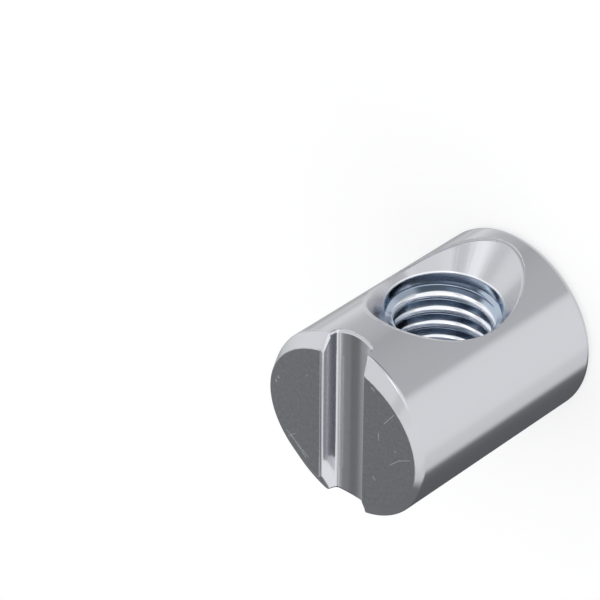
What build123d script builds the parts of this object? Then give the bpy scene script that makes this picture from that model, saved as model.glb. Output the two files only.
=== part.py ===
from build123d import *
import math
import os

# Cross dowel nut: a round steel barrel with a threaded cross hole and a driver slot in one end.
# Millimetres. The barrel stands on its plain end at z = 0, +Z runs to the slotted end,
# and the countersunk mouth of the cross hole faces -Y. The slot runs the same way as the hole.

# Barrel
barrel_diameter = 14.0
barrel_length = 18.0

# Cross hole: an M8 coarse thread, bored here at the diameter over its crests
thread_diameter = 8.0
thread_pitch = 1.25
thread_angle = 60.0
crest_factor = 1.0825
hole_height = 7.9

# Mouth of the cross hole. The countersink's depth is measured from the barrel's crown
countersink_depth = 2.2
countersink_angle = 90.0
countersink_edge_radius = 0.12
lead_in_clearance = 0.2
lead_in_depth = 0.6
lead_in_edge_radius = 0.1
exit_edge_chamfer = 0.2

# Slotted end: its oval face lies further in from the barrel's side at the slot's ends than beside it
face_inset_across = 0.25
face_inset_along = 1.3
face_edge_height = 0.6
shoulder_radius = 0.3

# Driver slot, a little wider at the face than at its floor
slot_depth = 1.35
slot_floor_width = 3.3
slot_mouth_width = 3.7
slot_corner_radius = 0.25
slot_edge_radius = 0.12

# Plain end: a flat disc stands slightly proud inside a narrow land and a rounded edge
disc_diameter = 11.2
disc_height = 0.1
plain_edge_radius = 0.6

# Values that follow from the sizes above
barrel_radius = barrel_diameter / 2
bore_radius = (thread_diameter - crest_factor * thread_pitch) / 2
lead_in_radius = (thread_diameter + lead_in_clearance) / 2
cone_slope = math.tan(math.radians(countersink_angle / 2))
countersink_radius = lead_in_radius + countersink_depth * cone_slope
entry_slope = math.tan(math.radians(thread_angle / 2))

# Levels along the hole are measured from the barrel's axis towards the mouth
rim_level = barrel_radius - countersink_depth
entry_level = rim_level - lead_in_depth
bore_level = entry_level - (lead_in_radius - bore_radius) * entry_slope
shoulder_level = barrel_length - face_edge_height
slot_floor_level = barrel_length - slot_depth


def barrel_section():
    """Half section of the barrel, from the disc on the plain end to the foot of the face's edge."""
    disc_radius = disc_diameter / 2
    land_radius = barrel_radius - plain_edge_radius
    side_start = disc_height + plain_edge_radius
    disc = [(0, 0), (disc_radius, 0), (disc_radius + disc_height, disc_height), (land_radius, disc_height)]
    side = [(barrel_radius, side_start), (barrel_radius, shoulder_level), (0, shoulder_level), (0, 0)]
    with BuildSketch(Plane.XZ) as section:
        with BuildLine():
            Polyline(*disc)
            RadiusArc(disc[-1], side[0], -plain_edge_radius)
            Polyline(*side)
        make_face()
    return section.sketch


def barrel():
    """Barrel with its oval face and the softened shoulder round it."""
    with BuildPart() as body:
        add(barrel_section())
        revolve(axis=Axis.Z)
        with BuildSketch(Plane.XY.offset(shoulder_level)):
            Circle(barrel_radius)
        with BuildSketch(Plane.XY.offset(barrel_length)):
            Ellipse(barrel_radius - face_inset_across, barrel_radius - face_inset_along)
        loft(ruled=True)
        long_edges = [edge for edge in body.edges() if edge.length > barrel_diameter]
        shoulder = min(long_edges, key=lambda edge: abs(edge.center().Z - shoulder_level))
        fillet(shoulder, shoulder_radius)
    return body.part


def slot_cutter():
    """Prism of the driver slot, rounded where its walls meet the floor."""
    floor_half = slot_floor_width / 2
    mouth_half = slot_mouth_width / 2
    above = barrel_length + slot_depth
    right = [(floor_half, slot_floor_level), (mouth_half, barrel_length), (mouth_half, above)]
    left = [(-x, z) for x, z in reversed(right)]
    with BuildPart() as cutter:
        with BuildSketch(Plane.XZ):
            with BuildLine():
                Polyline(*right, *left, close=True)
            make_face()
        extrude(amount=barrel_diameter, both=True)
        floor_corners = cutter.edges().filter_by(Axis.Y).sort_by(Axis.Z)[:2]
        fillet(floor_corners, slot_corner_radius)
    return cutter.part


def hole_cutter():
    """Countersink, lead-in and bore turned about the hole's axis, with the mouth towards -Y."""
    above = barrel_radius + countersink_depth
    above_radius = countersink_radius + countersink_depth * cone_slope
    outline = [
        (0, -barrel_diameter),
        (bore_radius, -barrel_diameter),
        (bore_radius, bore_level),
        (lead_in_radius, entry_level),
        (lead_in_radius, rim_level),
        (above_radius, above),
        (0, above),
    ]
    with BuildPart() as cutter:
        with BuildSketch(Plane.XZ) as section:
            with BuildLine():
                Polyline(*outline, close=True)
            make_face()
            rim = section.vertices().sort_by(lambda corner: abs(corner.Y - rim_level))[0]
            fillet(rim, lead_in_edge_radius)
        revolve(axis=Axis.Z)
    return Pos(0, 0, hole_height) * Rot(X=90) * cutter.part


def edge_near(body, x, y, z):
    """Edge of the body closest to a point."""
    return body.edges().sort_by_distance((x, y, z))[0]


def slot_outline(body):
    """Edges where the slot's walls and floor meet the outside of the barrel."""
    half = slot_mouth_width / 2
    middle = slot_floor_level - slot_edge_radius
    inside = [face for face in body.faces() if abs(face.center().X) < half and face.center().Z > middle]
    edges = [edge for face in inside for edge in face.edges()]
    return [edge for edge in edges if sum(edge.is_same(other) for other in edges) == 1]


def cross_dowel_nut():
    """Whole nut with its slot, its cross hole and their softened edges."""
    body = barrel() - slot_cutter()
    body = fillet(slot_outline(body), slot_edge_radius)
    body = body - hole_cutter()
    mouth_edge = edge_near(body, 0, -barrel_radius, hole_height + countersink_radius)
    body = fillet(mouth_edge, countersink_edge_radius)
    exit_edge = edge_near(body, 0, barrel_radius, hole_height + bore_radius)
    return chamfer(exit_edge, exit_edge_chamfer)


os.makedirs("parts", exist_ok=True)
export_step(cross_dowel_nut(), "parts/cross_dowel_nut.step")
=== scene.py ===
# %% [markdown]
# # Cross dowel nut
# A cross dowel nut is a short steel barrel that sits in a drilled hole in a panel. A machine screw comes in
# through the panel's edge and finds the threaded hole that runs across the barrel. The slot in one end lets
# a screwdriver turn the barrel until the hole faces the screw. The lesson builds it in the order a workshop
# could use: turn the barrel, mill the slot, bore and countersink the hole, then tap the thread. Each cut is
# made by a cutter that has the exact shape of the metal that goes away.

# %% Frame and units
import math
import bmesh
import bpy
from mathutils import Matrix, Vector


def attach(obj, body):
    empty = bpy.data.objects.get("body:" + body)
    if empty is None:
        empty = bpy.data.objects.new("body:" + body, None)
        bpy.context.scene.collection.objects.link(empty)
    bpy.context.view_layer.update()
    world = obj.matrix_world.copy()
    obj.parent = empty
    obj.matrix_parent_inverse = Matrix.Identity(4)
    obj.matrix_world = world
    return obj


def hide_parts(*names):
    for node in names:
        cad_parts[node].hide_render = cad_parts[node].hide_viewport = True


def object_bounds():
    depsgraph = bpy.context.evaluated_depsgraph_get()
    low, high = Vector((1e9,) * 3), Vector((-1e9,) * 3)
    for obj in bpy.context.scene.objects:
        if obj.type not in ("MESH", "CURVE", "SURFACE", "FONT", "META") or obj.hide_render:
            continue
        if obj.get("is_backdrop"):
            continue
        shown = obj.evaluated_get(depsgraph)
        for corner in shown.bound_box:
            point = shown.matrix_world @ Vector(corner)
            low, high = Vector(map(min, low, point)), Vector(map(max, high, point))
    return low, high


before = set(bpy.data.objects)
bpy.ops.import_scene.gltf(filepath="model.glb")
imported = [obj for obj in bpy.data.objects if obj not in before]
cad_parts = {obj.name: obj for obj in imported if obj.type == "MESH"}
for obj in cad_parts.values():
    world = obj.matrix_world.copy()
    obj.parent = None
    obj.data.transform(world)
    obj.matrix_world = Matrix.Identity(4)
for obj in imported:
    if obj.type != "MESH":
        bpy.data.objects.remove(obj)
size_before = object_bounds()
mm = 0.001
scene = bpy.context.scene
print("frame nodes:", sorted(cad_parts))

# %% [markdown]
# ## Working by hand from a script
# Mesh operators act on whatever is selected, so every new piece starts with nothing selected. The helpers
# below add a primitive, open it in edit mode, select faces by a rule, and close it again. They are the same
# moves as clicking, with the rule in place of the mouse.

# %% Selecting and cutting helpers
# Places closer than this, in millimetres, count as the same
touching = 0.001

def only(piece):
    """Makes the piece the one selected and active object."""
    bpy.ops.object.select_all(action="DESELECT")
    piece.select_set(True)
    bpy.context.view_layer.objects.active = piece
    return piece

def new_piece(name):
    """Names the primitive that an operator has just added and puts its place into its mesh."""
    piece = bpy.context.active_object
    piece.name = name
    piece.data.name = name
    bpy.ops.object.transform_apply(location=True, rotation=True, scale=True)
    return piece

def pick(piece, rule, kind="FACE"):
    """Opens the piece in edit mode with only the elements selected that the rule accepts."""
    only(piece)
    bpy.ops.object.mode_set(mode="EDIT")
    bpy.ops.mesh.select_mode(type=kind)
    bpy.ops.mesh.select_all(action="DESELECT")
    mesh = bmesh.from_edit_mesh(piece.data)
    elements = {"FACE": mesh.faces, "EDGE": mesh.edges, "VERT": mesh.verts}[kind]
    for element in elements:
        element.select_set(rule(element))
    mesh.select_flush_mode()
    bmesh.update_edit_mesh(piece.data)

def done(piece):
    """Leaves edit mode and turns all normals outward."""
    bpy.ops.mesh.select_all(action="SELECT")
    bpy.ops.mesh.normals_make_consistent(inside=False)
    bpy.ops.object.mode_set(mode="OBJECT")
    return piece

def flat_at(level):
    """Rule for the faces that lie flat at one height."""
    return lambda face: all(abs(corner.co.z - level) < touching for corner in face.verts)

def ring_at(level):
    """Rule for the edges that run round the piece at one height."""
    return lambda edge: all(abs(corner.co.z - level) < touching for corner in edge.verts)

def cut(piece, cutter):
    """Takes the cutter's volume out of the piece, applies the result and throws the cutter away."""
    only(piece)
    step = piece.modifiers.new("cut", "BOOLEAN")
    step.operation = "DIFFERENCE"
    step.solver = "EXACT"
    step.object = cutter
    bpy.ops.object.modifier_apply(modifier=step.name)
    bpy.data.objects.remove(cutter)
    print(piece.name, "after the cut:", len(piece.data.polygons), "faces")

# %% [markdown]
# ## The barrel
# The slotted end has a sloped shoulder round a slightly oval face, which a lathe profile can't make. The
# plain end is hidden and follows the other nut in the photograph: a round edge, and a flat disc that stands
# a hair proud. A cylinder whose end faces are inset, extruded and scaled keeps one clean ring of points all
# the way, and the bevel tool rounds the rings.

# %% Barrel
barrel_radius = 7.0
barrel_length = 18.0
shoulder_level = 17.4
face_half_across = 6.75
face_half_along = 5.7
disc_radius = 5.6
disc_step = 0.1
plain_edge_radius = 0.6
barrel_segments = 360

bpy.ops.object.select_all(action="DESELECT")
bpy.ops.mesh.primitive_cylinder_add(
    vertices=barrel_segments,
    radius=barrel_radius,
    depth=shoulder_level - disc_step,
    location=(0, 0, (shoulder_level + disc_step) / 2),
)
nut = new_piece("nut")

# Slotted end: the top face goes up and shrinks more along the slot than across it
pick(nut, flat_at(shoulder_level))
bpy.ops.mesh.extrude_region_move(TRANSFORM_OT_translate={"value": (0, 0, barrel_length - shoulder_level)})
bpy.ops.transform.resize(
    value=(face_half_across / barrel_radius, face_half_along / barrel_radius, 1),
    center_override=(0, 0, barrel_length),
)
done(nut)

# Plain end: a narrow land, then the disc
pick(nut, flat_at(disc_step))
bpy.ops.mesh.inset(thickness=barrel_radius - disc_radius - disc_step, depth=0)
bpy.ops.mesh.extrude_region_move(TRANSFORM_OT_translate={"value": (0, 0, -disc_step)})
disc_scale = disc_radius / (disc_radius + disc_step)
bpy.ops.transform.resize(value=(disc_scale, disc_scale, 1), center_override=(0, 0, 0))
done(nut)
print("barrel rings:", len(nut.data.vertices) // barrel_segments)

# %% [markdown]
# ## Rounding the rings
# Steel edges are never knife sharp: each one is a thin round that catches a line of light, and that line is
# what makes the part look solid. The bevel tool rounds a ring by its distance from the edge. The plain end
# has a large round, the shoulder a soft one, and the edge of the face and of the disc only a breath.

# %% Rounded rings
shoulder_round = 0.14
face_edge_round = 0.05
disc_edge_round = 0.03
radius_tolerance = 0.02

def round_ring(level, width, segments, radius=None):
    """Bevels the ring of edges at one height, or only the part of it that lies near a radius."""
    at_level = ring_at(level)
    near = lambda end: radius is None or abs(end.co.xy.length - radius) < radius_tolerance
    pick(nut, lambda edge: at_level(edge) and all(near(end) for end in edge.verts), kind="EDGE")
    bpy.ops.mesh.bevel(
        offset=width, offset_type="OFFSET", segments=segments, profile=0.5, clamp_overlap=False
    )
    done(nut)
    print("ring at", level, "rounded, faces:", len(nut.data.polygons))

round_ring(disc_step, plain_edge_radius, 10, radius=barrel_radius)
round_ring(shoulder_level, shoulder_round, 6)
round_ring(barrel_length, face_edge_round, 3)
round_ring(0.0, disc_edge_round, 2)
print("barrel faces:", len(nut.data.polygons))

# %% [markdown]
# ## Edges that are rounded by their cutter
# A bevel after a Boolean cut often fails, because the cut leaves points at uneven distances. Here the
# cutters carry the round themselves: wherever a cutter's wall comes close to the skin of the barrel, the
# wall flares outward along a quarter circle, so the cut it makes ends in a round edge. That needs one
# function that tells how deep a point lies under the skin, one for the quarter circle, and one that moves
# the cutter's points.

# %% Depth under the skin, and the flare
def depths_under_skin(point):
    """Distances from a point to the barrel's side or shoulder, and to its slotted face, positive inside."""
    side = barrel_radius - math.hypot(point.x, point.y)
    to_face = barrel_length - point.z
    rise = (point.z - shoulder_level) / (barrel_length - shoulder_level)
    if rise <= 0:
        return side, to_face
    across = barrel_radius + (face_half_across - barrel_radius) * rise
    along = barrel_radius + (face_half_along - barrel_radius) * rise
    reach = along * math.sqrt(max(0.0, 1 - (point.x / across) ** 2))
    slope = math.hypot(barrel_radius - face_half_along, barrel_length - shoulder_level)
    chamfer = (reach - abs(point.y)) * (barrel_length - shoulder_level) / slope
    return min(side, chamfer), to_face

# Outside the skin the wall goes on opening by this share, as far as this many radii
outside_slope = 0.4
outside_reach = 2

def quarter_circle(depth, radius):
    """How far a wall has moved outward at a depth under the skin, for an edge of one radius."""
    gap = radius - depth
    if gap <= 0:
        return 0.0
    if gap < radius:
        return radius - math.sqrt(radius ** 2 - gap ** 2)
    return radius + outside_slope * min(gap - radius, outside_reach * radius)

def flare(cutter, skin_radius, face_radius):
    """Moves the cutter's points outward where they come near the skin, so that its cut has round edges."""
    moves = []
    for corner in cutter.data.vertices:
        to_skin, to_face = depths_under_skin(corner.co)
        push = max(quarter_circle(to_skin, skin_radius), quarter_circle(to_face, face_radius))
        if push > 0:
            moves.append((corner, corner.co + corner.normal * push))
    for corner, place in moves:
        corner.co = place
    cutter.data.update()
    print(cutter.name, "flared points:", len(moves))

# %% [markdown]
# ## The driver slot
# The slot has walls that open slightly and a small round where wall meets floor. A cube does it: its top is
# widened, and the two long edges of its floor get a bevel. It is longer than the barrel is wide, so that it
# cuts through on both sides.

# %% Slot cutter
slot_floor = 16.78
slot_floor_width = 3.05
slot_mouth_width = 3.75
slot_edge_radius = 0.18
slot_end_radius = 0.24
slot_floor_sag = 0.26
slot_corner_round = 0.16
slot_overshoot = 0.3
slot_top = barrel_length + slot_overshoot
slot_half_length = 7.4
widening = (slot_mouth_width - slot_floor_width) / (barrel_length - slot_floor)
slot_top_width = slot_floor_width + widening * (slot_top - slot_floor)

bpy.ops.object.select_all(action="DESELECT")
bpy.ops.mesh.primitive_cube_add(size=1, location=(0, 0, (slot_top + slot_floor) / 2))
bpy.context.active_object.scale = (slot_floor_width, 2 * slot_half_length, slot_top - slot_floor)
slot_cutter = new_piece("slot_cutter")
pick(slot_cutter, flat_at(slot_top))
bpy.ops.transform.resize(value=(slot_top_width / slot_floor_width, 1, 1), center_override=(0, 0, slot_top))
done(slot_cutter)
on_floor = ring_at(slot_floor)
lengthwise = lambda edge: abs(edge.verts[0].co.x - edge.verts[1].co.x) < touching
pick(slot_cutter, lambda edge: on_floor(edge) and lengthwise(edge), kind="EDGE")
bpy.ops.mesh.bevel(offset=slot_corner_round, segments=8, profile=0.5)
done(slot_cutter)
print("slot cutter faces:", len(slot_cutter.data.polygons))

# %% [markdown]
# ## Fine cuts and a hollow floor
# The cutter needs points wherever its shape bends: near both ends, where it leaves the barrel, near the
# face, and across its floor. The bisect tool adds one ring of them at each plane, as a loop cut would by
# hand. The floor is made a little hollow, which gives the soft shading that the photograph shows across it.
# How deep the real slot is can't be seen.

# %% Cross cuts, hollow floor and slot
cut_tolerance = 0.0001

def cross_cut(place, direction):
    """Adds a loop of points to the whole piece in edit mode where a plane crosses it."""
    bpy.ops.mesh.select_all(action="SELECT")
    bpy.ops.mesh.bisect(plane_co=place, plane_no=direction, threshold=cut_tolerance)

def spread(start, end, count):
    """Evenly spaced values from start to end."""
    return [start + (end - start) * step / (count - 1) for step in range(count)]

# Where the cuts lie: near the ends, up the walls, at the mouth, and across the floor
end_zone = (4.8, 7.2)
wall_zone = (slot_floor + 0.3, barrel_length - 0.16)
mouth_zone = (barrel_length - 0.12, barrel_length)
floor_reach = 1.3
floor_tolerance = 0.03

pick(slot_cutter, lambda face: True)
for y in spread(*end_zone, 61):
    cross_cut((0, y, 0), (0, 1, 0))
    cross_cut((0, -y, 0), (0, 1, 0))
for z in spread(*wall_zone, 16) + spread(*mouth_zone, 6):
    cross_cut((0, 0, z), (0, 0, 1))
for x in spread(-floor_reach, floor_reach, 15):
    cross_cut((x, 0, 0), (1, 0, 0))
done(slot_cutter)
slot_half_floor = slot_floor_width / 2
floor_zone = slot_floor + slot_corner_round + floor_tolerance
for corner in slot_cutter.data.vertices:
    if corner.co.z < floor_zone and abs(corner.co.x) < slot_half_floor:
        corner.co.z -= slot_floor_sag * (1 - (corner.co.x / slot_half_floor) ** 2)
flare(slot_cutter, slot_end_radius, slot_edge_radius)
cut(nut, slot_cutter)

# %% [markdown]
# ## The countersunk mouth
# A countersink with a 90 degree point opens the hole, so a screw finds its way in. Below it a short
# counterbore clears the first turn of the thread. The cutter is one circle, extruded and widened step by
# step along the hole's axis, like a stack of rings. Where a cone runs out through a round barrel, its edge
# rises and falls: that wavy edge needs no modelling, the cut makes it.

# %% Hole cutter
hole_level = 7.9
lead_in_radius = 4.1
rim_level = 4.8
lead_in_level = 4.2
lead_in_taper = 0.1
foot_drop = 0.06
rim_round = 0.22
rim_turn = 45
cone_gap = 0.1
cone_top = 7.5
hole_segments = 256
mouth_edge_radius = 0.12
to_mouth = Matrix.Translation((0, 0, hole_level)) @ Matrix.Rotation(math.radians(90), 4, "X")

def stack_of_rings(name, rings, segments):
    """Solid of revolution made from a filled circle that is extruded and resized from ring to ring."""
    bpy.ops.object.select_all(action="DESELECT")
    level, radius = rings[0]
    bpy.ops.mesh.primitive_circle_add(
        vertices=segments, radius=radius, fill_type="NGON", location=(0, 0, level)
    )
    piece = new_piece(name)
    pick(piece, lambda face: True)
    for next_level, next_radius in rings[1:]:
        bpy.ops.mesh.extrude_region_move(TRANSFORM_OT_translate={"value": (0, 0, next_level - level)})
        ratio = next_radius / radius
        bpy.ops.transform.resize(value=(ratio, ratio, 1), center_override=(0, 0, next_level))
        level, radius = next_level, next_radius
    done(piece)
    return piece

# M8 coarse thread: the diameter at its crests is the outer one less 1.0825 pitches
thread_diameter = 8.0
pitch = 1.25
crest_factor = 1.0825
flank_angle = 30
core_margin = 0.3

# Below the lead-in the cutter narrows at the thread's own angle, to a core that the thread swallows
flank_slope = math.tan(math.radians(flank_angle))
thread_crest_radius = (thread_diameter - crest_factor * pitch) / 2
entry_level = lead_in_level - (lead_in_radius - thread_crest_radius) * flank_slope
core_radius = thread_crest_radius - core_margin
core_level = entry_level - core_margin * flank_slope
lead_in_foot = (lead_in_level - foot_drop, lead_in_radius - lead_in_taper)

# The rim turns from the lead-in's wall to the cone along an arc
rim_start = rim_level - rim_round * math.tan(math.radians(rim_turn / 2))
rim_arc = [
    (rim_start + rim_round * math.sin(angle), lead_in_radius + rim_round * (1 - math.cos(angle)))
    for angle in spread(0, math.radians(rim_turn), 5)
]
cone_levels = spread(rim_level + cone_gap, cone_top, 60)
cone_rings = [(level, lead_in_radius + level - rim_level) for level in cone_levels]
hole_rings = [(core_level, core_radius), lead_in_foot, *rim_arc, *cone_rings]
hole_cutter = stack_of_rings("hole_cutter", hole_rings, hole_segments)
hole_cutter.data.transform(to_mouth)
flare(hole_cutter, mouth_edge_radius, mouth_edge_radius)
cut(nut, hole_cutter)

# %% [markdown]
# ## The thread
# An M8 thread climbs 1.25 mm a turn, and its flanks stand 60 degrees apart. The standard draws its crest
# and its root as flats. Here both are round, because the photograph shows soft lines of light along the
# turns. The screw modifier sweeps one pitch of the profile round the axis, and each turn meets the next, so
# the result is a bolt with the exact shape of the metal that the tap takes away.

# %% Bolt that cuts the thread
root_radius = thread_diameter / 2
steps_per_turn = 128
thread_turns = 11
nose_radius = 0.6
nose_turn = 47
root_round = 0.1
seam_gap = 0.002

def arc(centre, radius, turn_from, turn_to, count):
    """Points on an arc, given as radius and level, between two angles in degrees."""
    turns = [math.radians(angle) for angle in spread(turn_from, turn_to, count)]
    return [(centre[0] + radius * math.cos(turn), centre[1] + radius * math.sin(turn)) for turn in turns]

# The flank's line passes the radius of the crest at a quarter pitch, and the round nose ends on that line
flank_start = pitch / 4
nose_end_angle = 90 + flank_angle
nose_centre_radius = thread_crest_radius - nose_radius * math.cos(math.radians(nose_end_angle + nose_turn))
nose_end_radius = nose_centre_radius + nose_radius * math.cos(math.radians(nose_end_angle))
nose_end_level = flank_start + (nose_end_radius - thread_crest_radius) * flank_slope
nose_centre = (nose_centre_radius, nose_end_level - nose_radius * math.sin(math.radians(nose_end_angle)))
nose = arc(nose_centre, nose_radius, nose_end_angle + nose_turn, nose_end_angle, 10)

# The root is a round groove between the two flanks
root_start = flank_start + (root_radius - thread_crest_radius) * flank_slope
root_end = pitch - (root_radius - thread_crest_radius) * flank_slope
root_tangent = root_round * math.tan(math.radians(45 - flank_angle / 2))
low_centre = (root_radius - root_round, root_start + root_tangent)
high_centre = (root_radius - root_round, root_end - root_tangent)
root = [
    *arc(low_centre, root_round, flank_angle - 90, 0, 5),
    *arc(high_centre, root_round, 0, 90 - flank_angle, 5),
]
tooth = [*nose, *root, (nose[0][0], nose[0][1] + pitch)]
bpy.ops.object.select_all(action="DESELECT")
bpy.ops.mesh.primitive_circle_add(vertices=len(tooth), radius=1, fill_type="NOTHING")
bolt = new_piece("bolt")
for point, (radius, level) in zip(bolt.data.vertices, tooth):
    point.co = (radius, 0, level)

# A circle is closed, so the one edge that is a pitch long goes, and the profile is open for the screw
spans_pitch = lambda edge: abs(abs(edge.verts[0].co.z - edge.verts[1].co.z) - pitch) < touching
pick(bolt, spans_pitch, kind="EDGE")
bpy.ops.mesh.delete(type="EDGE")
bpy.ops.object.mode_set(mode="OBJECT")
sweep = bolt.modifiers.new("sweep", "SCREW")
sweep.axis = "Z"
sweep.angle = math.tau
sweep.screw_offset = pitch
sweep.iterations = thread_turns
sweep.steps = steps_per_turn
sweep.render_steps = steps_per_turn
sweep.use_merge_vertices = False
sweep.use_smooth_shade = True
only(bolt)
bpy.ops.object.modifier_apply(modifier=sweep.name)
pick(bolt, lambda face: True)
bpy.ops.mesh.remove_doubles(threshold=seam_gap)
done(bolt)
print("bolt faces:", len(bolt.data.polygons))

# %% [markdown]
# ## Tapping the hole
# The bolt stands on end until now. It gets flat ends from two bisect cuts that fill the hole they leave, is
# turned to lie along the hole's axis, and is taken out of the barrel. What stays behind is the thread.

# %% Flat ends, place and cut
bolt_start = -9.2
bolt_top = 4.6
bolt_bottom = -7.5

bolt.data.transform(Matrix.Translation((0, 0, bolt_start)))
pick(bolt, lambda face: True)
bpy.ops.mesh.bisect(plane_co=(0, 0, bolt_top), plane_no=(0, 0, 1), use_fill=True, clear_outer=True)
bpy.ops.mesh.select_all(action="SELECT")
bpy.ops.mesh.bisect(plane_co=(0, 0, bolt_bottom), plane_no=(0, 0, 1), use_fill=True, clear_inner=True)
done(bolt)
bolt.data.transform(to_mouth)
cut(nut, bolt)

# %% [markdown]
# ## The far end of the hole
# On the far side the thread runs out through the round of the barrel, where its edge would be sharp. A
# plain cylinder that flares near the skin breaks that edge, as deburring does. The photograph doesn't show
# this side.

# %% Relief where the thread leaves the barrel
exit_edge_radius = 0.25
exit_clearance = 0.02
exit_end = -5.0
exit_segments = 128
exit_levels = spread(bolt_bottom, exit_end, 50)
exit_rings = [(level, thread_crest_radius + exit_clearance) for level in exit_levels]
exit_cutter = stack_of_rings("exit_cutter", exit_rings, exit_segments)
exit_cutter.data.transform(to_mouth)
flare(exit_cutter, exit_edge_radius, exit_edge_radius)
cut(nut, exit_cutter)

# %% [markdown]
# ## Clean up and shade
# The cuts leave some points on top of each other, which are merged. Then faces are shaded smooth up to 38
# degrees, so that the rounds look round and the edges of the slot stay edges. Weighted normals let the
# large faces keep their flat look next to narrow rounds.

# %% Clean up and shade
same_point = 0.0002
smooth_angle = 38
large_face_weight = 60

pick(nut, lambda vert: True, kind="VERT")
bpy.ops.mesh.remove_doubles(threshold=same_point)
bpy.ops.mesh.dissolve_degenerate(threshold=same_point)
done(nut)
only(nut)
bpy.ops.object.shade_smooth_by_angle(angle=math.radians(smooth_angle))
weigh = nut.modifiers.new("weigh", "WEIGHTED_NORMAL")
weigh.mode = "FACE_AREA"
weigh.weight = large_face_weight
weigh.keep_sharp = True
bpy.ops.object.modifier_apply(modifier=weigh.name)
check = bmesh.new()
check.from_mesh(nut.data)
open_edges = sum(not edge.is_manifold for edge in check.edges)
triangles = sum(len(face.verts) - 2 for face in check.faces)
print("nut volume mm3:", round(check.calc_volume(), 1), "open edges:", open_edges, "triangles:", triangles)
check.free()

# %% [markdown]
# ## Colours and nodes
# A material is a small network of nodes. One function turns colours from the hex values of a colour picker
# into the linear values that Blender works with. One more adds a node, sets it and wires its inputs: where
# an input is given as a node, its first free output is used, so a chain of sums reads from top to bottom.

# %% Helpers for node trees
def linear(hex_colour):
    """Turns an sRGB hex colour into the linear values that Blender works with."""
    parts = [int(hex_colour[start : start + 2], 16) / 255 for start in (0, 2, 4)]
    return [part / 12.92 if part <= 0.04045 else ((part + 0.055) / 1.055) ** 2.4 for part in parts] + [1.0]

def add_node(tree, kind, inputs=None, stops=None, **settings):
    """Adds a node with its settings, fills or links its inputs, and sets a ramp's stops if there are any."""
    made = tree.nodes.new(kind)
    for name, value in settings.items():
        setattr(made, name, value)
    for key, value in (inputs or {}).items():
        if isinstance(value, bpy.types.Node):
            value = next(socket for socket in value.outputs if socket.enabled)
        if isinstance(value, bpy.types.NodeSocket):
            tree.links.new(value, made.inputs[key])
        else:
            made.inputs[key].default_value = value
    if stops:
        elements = made.color_ramp.elements
        elements.remove(elements[-1])
        for index, (place, colour) in enumerate(stops):
            stop = elements[0] if index == 0 else elements.new(place)
            stop.position = place
            stop.color = colour
    return made

print("a mid grey in linear light:", [round(part, 3) for part in linear("808080")])

# %% [markdown]
# ## Bright zinc plate: where on the nut is a point?
# The nut is taken to be steel with a thin electroplated coat of zinc and a clear blue passivation, which
# gives the eye a cool silver metal. It is one finish all over, but its faces look different: the barrel is
# smooth, the cone has turned rings, and the slotted face is mottled and scratched. The material tells them
# apart by place, in millimetres, and by the distance and the angle round the hole's axis. Vertex groups or
# several materials could do it too, but places need no painting and stay exact.

# %% Places on the nut
zinc = bpy.data.materials.new("bright_zinc_plate")
zinc.use_nodes = True
tree = zinc.node_tree
tree.nodes.clear()
object_place = add_node(tree, "ShaderNodeTexCoord").outputs["Object"]
in_mm = add_node(tree, "ShaderNodeVectorMath", {0: object_place, "Scale": 1 / mm}, operation="SCALE")
x, y, z = add_node(tree, "ShaderNodeSeparateXYZ", {"Vector": in_mm}).outputs

# The same point seen from the hole's axis
above_hole = add_node(tree, "ShaderNodeMath", {0: z, 1: hole_level}, operation="SUBTRACT")
from_axis = add_node(tree, "ShaderNodeCombineXYZ", {"X": x, "Z": above_hole})
hole_distance = add_node(tree, "ShaderNodeVectorMath", {0: from_axis}, operation="LENGTH")
hole_angle = add_node(tree, "ShaderNodeMath", {0: above_hole, 1: x}, operation="ARCTAN2")
round_hole = add_node(tree, "ShaderNodeCombineXYZ", {"X": hole_angle, "Y": hole_distance})

# The slotted face is the flat top, and the cone is where depth and distance from the axis grow together
fade_from, fade_to = 0.06, 0.02
face_limits = {"Value": z, "From Min": barrel_length - fade_from, "From Max": barrel_length - fade_to}
on_face = add_node(tree, "ShaderNodeMapRange", face_limits, interpolation_type="SMOOTHSTEP")
cone_tolerance = 0.08
cone_sum = add_node(tree, "ShaderNodeMath", {0: y, 1: hole_distance}, operation="ADD")
on_cone = add_node(
    tree,
    "ShaderNodeMath",
    {0: cone_sum, 1: lead_in_radius - rim_level, 2: cone_tolerance},
    operation="COMPARE",
)
print("place nodes:", len(tree.nodes))

# %% [markdown]
# ## Colour of the plating, with painted light in the hole and on the slot's walls
# Zinc with a clear blue passivation is a light cool grey. Down in the thread the photograph shows slate
# blue, and bright silver on the crests and the rim. That contrast makes the thread readable. Both are
# painted into the colour: painted shade in the grooves and the counterbore, darker and bluer than the plate,
# and a painted highlight on the crests and the rim, lighter than it. A colour ramp on the distance from the
# hole's axis does it with exact limits. A faint mottle keeps the flat face from looking like plastic.

# %% Colour of the plating
plate = linear("CBCCD0")
# The crest colour is a painted highlight on the thread's crests and the hole's rim; the groove colour is
# painted shade in the grooves and the counterbore
crest_painted_highlight = linear("F2F4F8")
groove_painted_shade = linear("AEBBCB")
# Lighter colour for the slot's walls, a painted highlight
wall_painted_highlight = linear("E2E4E8")
ramp_start, ramp_end = 3.3, 4.3
# Stops by radius from the hole's axis: painted highlight on the crests, painted shade in the grooves, painted
# highlight on the rim, then plain plate
shade_and_highlight_by_radius = [
    (3.32, crest_painted_highlight), (3.52, crest_painted_highlight), (3.64, groove_painted_shade), (4.09, groove_painted_shade), (4.11, crest_painted_highlight), (4.16, crest_painted_highlight), (4.2, plate),
]
place_in_hole = add_node(
    tree, "ShaderNodeMapRange", {"Value": hole_distance, "From Min": ramp_start, "From Max": ramp_end}
)
hole_painted_light = add_node(tree, "ShaderNodeValToRGB", {"Fac": place_in_hole}, stops=[
    ((radius - ramp_start) / (ramp_end - ramp_start), colour) for radius, colour in shade_and_highlight_by_radius
])

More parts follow.
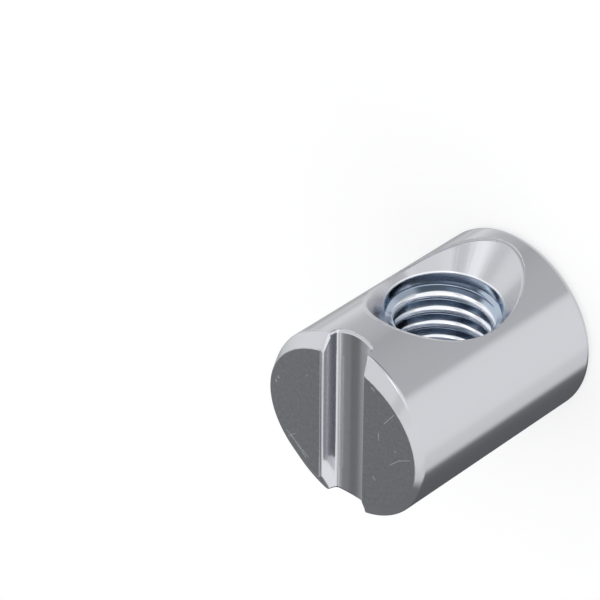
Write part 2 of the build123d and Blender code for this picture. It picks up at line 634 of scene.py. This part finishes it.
# The skin round the far end of the hole is as far from the hole's axis as the grooves, but is plain plate
flat_place = add_node(tree, "ShaderNodeCombineXYZ", {"X": x, "Y": y})
from_core = add_node(tree, "ShaderNodeVectorMath", {0: flat_place}, operation="LENGTH")
skin_from, skin_to = 0.16, 0.06
skin_limits = {"Value": from_core, "From Min": barrel_radius - skin_from, "From Max": barrel_radius - skin_to}
at_skin = add_node(tree, "ShaderNodeMapRange", skin_limits)
plate_and_painted_light = add_node(tree, "ShaderNodeMix", {0: at_skin, 6: hole_painted_light, 7: plate}, data_type="RGBA")

# The slot lies between its walls and above the lowest line of its floor, and ends where the skin begins
slot_margin = 0.01
slot_mottle = 0.3
between_walls = add_node(
    tree, "ShaderNodeMath", {0: x, 1: 0.0, 2: slot_mouth_width / 2}, operation="COMPARE"
)
lowest = slot_floor - slot_floor_sag - slot_margin
above_floor = add_node(tree, "ShaderNodeMath", {0: z, 1: lowest}, operation="GREATER_THAN")
in_slot = add_node(tree, "ShaderNodeMath", {0: between_walls, 1: above_floor}, operation="MULTIPLY")
in_slot = add_node(tree, "ShaderNodeMath", {0: in_slot, 1: at_skin}, operation="SUBTRACT", use_clamp=True)
mottled = add_node(
    tree, "ShaderNodeMath", {0: in_slot, 1: slot_mottle, 2: on_face}, operation="MULTIPLY_ADD"
)

# The walls of the slot show brighter than its floor, so they get a lighter colour: a painted highlight on the
# walls. The walls of the slot show brighter than its floor; a lighter plating on them is a guess
wall_start = slot_half_floor - floor_tolerance
from_middle = add_node(tree, "ShaderNodeMath", {0: x}, operation="ABSOLUTE")
past_floor = add_node(tree, "ShaderNodeMath", {0: from_middle, 1: wall_start}, operation="GREATER_THAN")
painted_highlight_on_wall = add_node(tree, "ShaderNodeMath", {0: in_slot, 1: past_floor}, operation="MULTIPLY")
plate_and_painted_light = add_node(tree, "ShaderNodeMix", {0: painted_highlight_on_wall, 6: plate_and_painted_light, 7: wall_painted_highlight}, data_type="RGBA")

# The film is taken to be uneven over some hundredths of a millimetre, which is finer than a pixel. So that
# the patches show, they start at 0.3 mm
patch_size = 0.3
patches = {"Vector": in_mm, "Scale": 1 / patch_size, "Detail": 3.0, "Roughness": 0.8}
mottle = add_node(tree, "ShaderNodeTexNoise", patches)
mottle_limits = {"Value": mottle, "From Min": 0.3, "From Max": 0.7, "To Min": 0.84, "To Max": 1.08}
mottle_level = add_node(tree, "ShaderNodeMapRange", mottle_limits)
# The plate's colour, with its painted highlights and painted shade, times the random mottle
steel_and_painted_light = add_node(
    tree,
    "ShaderNodeMix",
    {0: mottled, 6: plate_and_painted_light, 7: mottle_level},
    data_type="RGBA",
    blend_type="MULTIPLY",
)
print("colour nodes:", len(tree.nodes))

# %% [markdown]
# ## Scratches and dents
# The slotted face in the photograph has a few scratches and tiny dents. Each is a short line on the face:
# the node tree measures the distance to the line, and close to it the metal is rough and scatters light
# from all sides, so the mark shows light on the dark face. Cut as real grooves they would need a much finer
# mesh for the same look.

# %% Marks on the slotted face
# A mark is at its strongest within this share of its half width
mark_core = 0.1

def mark(start, end, half_width):
    """Mask of a short scratch between two points of the face, or of a dent where both are nearly the same."""
    away = add_node(tree, "ShaderNodeVectorMath", {0: flat_place, 1: (*start, 0)}, operation="SUBTRACT")
    along = Vector((end[0] - start[0], end[1] - start[1], 0))
    if along.length > 0:
        unit = along / along.length_squared
        share = add_node(tree, "ShaderNodeVectorMath", {0: away, 1: unit}, operation="DOT_PRODUCT")
        held = add_node(tree, "ShaderNodeClamp", {"Value": share})
        reached = add_node(tree, "ShaderNodeVectorMath", {0: along, "Scale": held}, operation="SCALE")
        away = add_node(tree, "ShaderNodeVectorMath", {0: away, 1: reached}, operation="SUBTRACT")
    distance = add_node(tree, "ShaderNodeVectorMath", {0: away}, operation="LENGTH")
    limits = {"Value": distance, "From Min": half_width, "From Max": half_width * mark_core}
    return add_node(tree, "ShaderNodeMapRange", limits, interpolation_type="SMOOTHSTEP")

# Start and end of each line on the face, and half its width; a dent is hardly longer than it is wide
scratches = [
    ((5.12, 3.01), (3.1, 4.26), 0.09),
    ((4.74, 3.15), (3.29, 4.46), 0.09),
    ((5.02, 3.49), (4.27, 2.82), 0.05),
    ((-3.38, -1.4), (-3.44, -0.85), 0.08),
    ((-3.88, -2.48), (-4.75, -3.71), 0.07),
    ((-4.5, 0.66), (-5.3, -0.13), 0.06),
    ((-5.3, -0.13), (-6.27, -0.68), 0.06),
    ((3.23, -2.76), (3.23, -2.76), 0.14),
    ((5.95, -1.22), (5.9, -1.1), 0.14),
    ((6.18, -0.76), (6.1, -0.7), 0.15),
    ((-4.92, -0.68), (-4.92, -0.68), 0.13),
    ((-2.99, 2.56), (-3.15, 2.7), 0.12),
    ((-2.69, -4.85), (-2.9, -4.75), 0.12),
]
marks = mark(*scratches[0])
for scratch in scratches[1:]:
    marks = add_node(tree, "ShaderNodeMath", {0: marks, 1: mark(*scratch)}, operation="MAXIMUM")
print("marks on the face:", len(scratches))

# %% [markdown]
# ## Tool marks
# A countersink leaves fine rings round the hole and chatters a little, which tilts the cone in soft streaks
# from rim to mouth. The face has hairlines in two directions, the slot has streaks along it, and the barrel
# a fine grain. All of it is less than two hundredths of a millimetre deep, so it goes into a bump map whose
# heights are in millimetres. Real hairlines are some hundredths of a millimetre wide; a pixel is 0.07 mm,
# so they are drawn a tenth wide.

# %% Tool marks as a bump map
def streaks(places, width, length, turn=0):
    """Noise in streaks of a width and a length in the units of the places, turned by some degrees."""
    grid = {"Vector": places, "Rotation": (0, 0, math.radians(turn)), "Scale": (width, length, 1)}
    turned = add_node(tree, "ShaderNodeMapping", grid, vector_type="TEXTURE")
    return add_node(tree, "ShaderNodeTexNoise", {"Vector": turned, "Scale": 1.0, "Detail": 2.0})

hairlines = streaks(in_mm, 0.1, 1.6, turn=-37)
cross_hairlines = streaks(in_mm, 0.1, 1.3, turn=48)
grain_size = 0.14
grain = add_node(tree, "ShaderNodeTexNoise", {"Vector": in_mm, "Scale": 1 / grain_size, "Detail": 1.0})

# Pattern, depth in millimetres, and mask of each layer; round the hole a width is in radians
layers = [
    (streaks(round_hole, 0.14, 10.0), 0.016, on_cone),
    (streaks(round_hole, 0.03, 10.0), 0.004, on_cone),
    (streaks(round_hole, 0.67, 0.14), 0.0012, on_cone),
    (hairlines, 0.002, on_face),
    (cross_hairlines, 0.002, on_face),
    (streaks(in_mm, 0.08, 3.0), 0.0016, in_slot),
    (grain, 0.0008, 1.0),
]
relief = 0.0
for pattern, depth, mask in layers:
    masked = add_node(tree, "ShaderNodeMath", {0: pattern, 1: mask}, operation="MULTIPLY")
    relief = add_node(tree, "ShaderNodeMath", {0: masked, 1: depth, 2: relief}, operation="MULTIPLY_ADD")
tool_marks = add_node(tree, "ShaderNodeBump", {"Height": relief, "Strength": 1.0, "Distance": mm})
print("tool mark layers:", len(layers))

# %% [markdown]
# ## The steel shader
# A Principled shader at metallic 1 takes the colour as the metal's own reflection. Bright zinc on smooth
# steel is nearly a mirror: a roughness near 0.1 keeps the studio readable as bands, and softens their
# borders. The cone is duller from the countersink, the hairlines are duller than the ground between them,
# and the marks dullest.

# %% Steel shader
roughness = 0.115
hairline_roughness = 0.1
cone_roughness = 0.12
mark_roughness = 0.5
duller = [(cross_hairlines, hairline_roughness, on_face), (on_cone, cone_roughness, 1.0)]
for pattern, share, mask in duller:
    masked = add_node(tree, "ShaderNodeMath", {0: pattern, 1: mask}, operation="MULTIPLY")
    inputs = {0: masked, 1: share, 2: roughness}
    roughness = add_node(tree, "ShaderNodeMath", inputs, operation="MULTIPLY_ADD")
mark_rough = add_node(tree, "ShaderNodeMath", {0: marks, 1: on_face}, operation="MULTIPLY")
mark_rough = add_node(tree, "ShaderNodeMath", {0: mark_rough, 1: mark_roughness}, operation="MULTIPLY")
roughness = add_node(tree, "ShaderNodeMath", {0: roughness, 1: mark_rough}, operation="MAXIMUM")
steel = add_node(tree, "ShaderNodeBsdfPrincipled", {
    "Base Color": steel_and_painted_light,
    "Metallic": 1.0,
    "Roughness": roughness,
    "Normal": tool_marks,
})
add_node(tree, "ShaderNodeOutputMaterial", {"Surface": steel})
nut.data.transform(Matrix.Scale(mm, 4))
nut.data.materials.clear()
nut.data.materials.append(zinc)
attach(nut, "root")
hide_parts("cross_dowel_nut")
print("steel nodes:", len(tree.nodes))

# %% [markdown]
# ## The floor
# Small parts are often photographed on a white board that bends up out of sight. A large matt plane takes
# the nut's soft shadow, and for the camera it also glows a little, so that it reaches white without more
# light on the metal. The board is hidden from the metal's reflections, because the lower side of the nut in
# the photograph shows dark cards where a white board would show: those cards belong to the studio below.

# %% Floor
# Side of the board in metres, its glow, and how much of the glow the camera sees
board_size = 4
board_glow = 1.14
glow_share = 0.55
bpy.ops.object.select_all(action="DESELECT")
bpy.ops.mesh.primitive_plane_add(size=board_size, location=(0, 0, 0))
floor = bpy.context.active_object
floor.name = "floor"
floor_paint = bpy.data.materials.new("white_sweep_board")
floor_paint.use_nodes = True
board = floor_paint.node_tree
board.nodes.clear()
matt = add_node(board, "ShaderNodeBsdfDiffuse", {"Color": linear("FAFAFA")})
lit = add_node(board, "ShaderNodeEmission", {"Color": linear("FFFFFF"), "Strength": board_glow})
rays = add_node(board, "ShaderNodeLightPath").outputs
direct = {0: rays["Is Camera Ray"], 1: rays["Is Glossy Ray"]}
seen = add_node(board, "ShaderNodeMath", direct, operation="ADD")
seen = add_node(board, "ShaderNodeMath", {0: seen, 1: rays["Is Transmission Ray"]}, operation="ADD")
part_lit = add_node(board, "ShaderNodeMath", {0: seen, 1: glow_share}, operation="MULTIPLY")
mixed = add_node(board, "ShaderNodeMixShader", {0: part_lit, 1: matt, 2: lit})
add_node(board, "ShaderNodeOutputMaterial", {"Surface": mixed})
floor.data.materials.append(floor_paint)
floor.visible_glossy = False
floor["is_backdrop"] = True
print("floor nodes:", len(board.nodes))

# %% [markdown]
# ## The studio
# Bright metal shows the room and hardly any colour of its own, so the room is the real work. The
# photographer's cards and softboxes are painted on the world by direction: two rings of grey levels round
# the horizon, one below it and one above, a white dome on top, almost white below, and round cards where
# the metal shows one. Lamps could do this as well, but a lamp is seen only as a spot in metal, and its size
# and edge are harder to match.

# %% Walls of the studio
studio = bpy.data.worlds.new("studio")
scene.world = studio
studio.use_nodes = True
sky = studio.node_tree
sky.nodes.clear()
direction = add_node(sky, "ShaderNodeTexCoord").outputs["Generated"]
axes = add_node(sky, "ShaderNodeSeparateXYZ", {"Vector": direction}).outputs
turn = add_node(sky, "ShaderNodeMath", {0: axes["Y"], 1: axes["X"]}, operation="ARCTAN2")
compass = add_node(sky, "ShaderNodeMapRange", {"Value": turn, "From Min": -math.pi, "From Max": math.pi})

def grey(level):
    """Colour of a card of one brightness. The darker it is, the more a trace of blue shows."""
    return (level, level + 0.003, level + 0.013, 1.0)

def rise(degrees):
    """Height of a direction above the horizon, as the Z of a unit vector."""
    return math.sin(math.radians(degrees))

# Each level is given with its direction in degrees from +X
low_levels = [
    (-180, 1.05), (-148, 1.03), (-143.8, 0.92), (-139, 0.67), (-105, 0.645), (-88, 0.615), (-72, 0.58),
    (-62, 0.64), (-49, 0.69), (-33, 0.72), (-25, 0.77), (-9, 0.96), (-3, 0.95), (5, 0.7), (14, 0.76),
    (24, 0.5), (38, 0.5), (50, 0.2), (64, 0.11), (90, 0.14), (106, 0.158), (118, 0.2), (121, 0.31),
    (125, 0.67), (128, 0.85), (143, 0.9), (151, 1.02), (180, 1.05),
]
high_levels = [
    (-180, 1.05), (-60, 1.0), (5, 1.05), (22, 0.75), (36, 0.52), (46, 0.38), (60, 0.22), (115, 0.22),
    (122, 0.5), (128, 0.82), (150, 1.0), (180, 1.05),
]
rings = []
for levels in (low_levels, high_levels):
    stops = [((degrees + 180) / 360, grey(level)) for degrees, level in levels]
    rings.append(add_node(sky, "ShaderNodeValToRGB", {"Fac": compass}, stops=stops))
print("levels round the studio:", len(low_levels), "below,", len(high_levels), "above the horizon")

# %% [markdown]
# ## From the floor to the dome
# The rings, the light ground and the white dome blend softly into each other with height. Soft borders
# stand for the soft edges of big cards that hang close to a small part.

# %% Blends with height, and round cards
ground_level = 0.9
dome_level = 1.0
ground_to_low = {"Value": axes["Z"], "From Min": rise(-60), "From Max": rise(-48)}
low_to_high = {"Value": axes["Z"], "From Min": rise(-22), "From Max": rise(-6)}
high_to_dome = {"Value": axes["Z"], "From Min": rise(40), "From Max": rise(56)}
room = grey(ground_level)
blends = [(ground_to_low, rings[0]), (low_to_high, rings[1]), (high_to_dome, grey(dome_level))]
for limits, upper in blends:
    share = add_node(sky, "ShaderNodeMapRange", limits, interpolation_type="SMOOTHSTEP")
    room = add_node(sky, "ShaderNodeMix", {0: share, 6: room, 7: upper}, data_type="RGBA")

def hang_card(room, azimuth, elevation, inner, outer, colour):
    """Hangs a round card or softbox in one direction; its soft rim starts at inner and ends at outer."""
    flat = math.cos(math.radians(elevation))
    aim = (flat * math.cos(math.radians(azimuth)), flat * math.sin(math.radians(azimuth)), rise(elevation))
    nearness = add_node(sky, "ShaderNodeVectorMath", {0: direction, 1: aim}, operation="DOT_PRODUCT")
    rim = {
        "Value": nearness,
        "From Min": math.cos(math.radians(outer)),
        "From Max": math.cos(math.radians(inner)),
    }
    share = add_node(sky, "ShaderNodeMapRange", rim, interpolation_type="SMOOTHSTEP")
    return add_node(sky, "ShaderNodeMix", {0: share, 6: room, 7: colour}, data_type="RGBA")

# Azimuth and elevation of each card, start and end of its rim, all in degrees, and its colour
cards = [
    (54, 44, 7, 20, grey(0.223)),    # grey card that the slotted face mirrors
    (65, 47, 3, 8, grey(0.3)),    # paler part of it that the slot's wall mirrors
    (-72, 37, 5, 14, grey(1.5)),    # lights and a pale card that the cone, the edges and the thread mirror
    (-143, 32, 3, 10, grey(1.5)),
    (-138, 69, 3, 9, grey(0.86)),
    (-120, 42, 5, 13, grey(2.1)),
    (-135, -16, 3, 9, grey(1.2)),
    (-100, 35, 4, 10, grey(0.67)),    # grey cards that set off the bright fan on the cone
    (-50, 36, 4, 13, grey(0.78)),
    (-10, 0, 5, 14, grey(0.72)),
]

# Dark cards that the grooves of the thread mirror; each has an azimuth, an elevation and a lightness
flag_rim = (5, 15)
flag_colour = (0.16, 0.18, 0.21)
flags = ((-70, 14, 1.0), (-80, 10, 1.8), (-90, 5, 1.8), (-100, -6, 1.0), (-110, -14, 1.0))
for azimuth, elevation, strength in flags:
    colour = [part * strength for part in flag_colour] + [1.0]
    cards.append((azimuth, elevation, *flag_rim, colour))
for card in cards:
    room = hang_card(room, *card)
glow = add_node(sky, "ShaderNodeBackground", {"Color": room, "Strength": 1.0})
add_node(sky, "ShaderNodeOutputWorld", {"Surface": glow})
print("cards:", len(cards), "studio nodes:", len(sky.nodes))

# %% [markdown]
# ## The camera
# The photograph was taken from close by with a long lens, looking down on the slotted end and into the
# thread. Its place, turn and focal length were found from points of the nut that are easy to name, such as
# the rim of the hole and the ends of the slot.

# %% Camera
camera_data = bpy.data.cameras.new("camera")
camera_data.sensor_width = 36
camera_data.lens = 193.386
camera_data.clip_start = 0.01
camera = bpy.data.objects.new("camera", camera_data)
camera.location = (-0.116741, -0.134938, 0.142504)
camera.rotation_euler = [math.radians(angle) for angle in (-35.9376, 44.1941, -179.8195)]
scene.collection.objects.link(camera)
scene.camera = camera
scene.view_settings.view_transform = "Standard"
print("distance from the origin in mm:", round(camera.location.length / mm, 1))

# %% [markdown]
# ## Sizes
# Both boxes are printed: the one round the CAD model before the work, and the one round the new nut after it.
# The nut has to stay inside the box of its CAD model.

# %% Sizes and finish
size_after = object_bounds()
boxes = {"before": [list(corner) for corner in size_before], "after": [list(corner) for corner in size_after]}
for name, box in boxes.items():
    print("box", name, "in mm:", [[round(value / mm, 3) for value in corner] for corner in box])
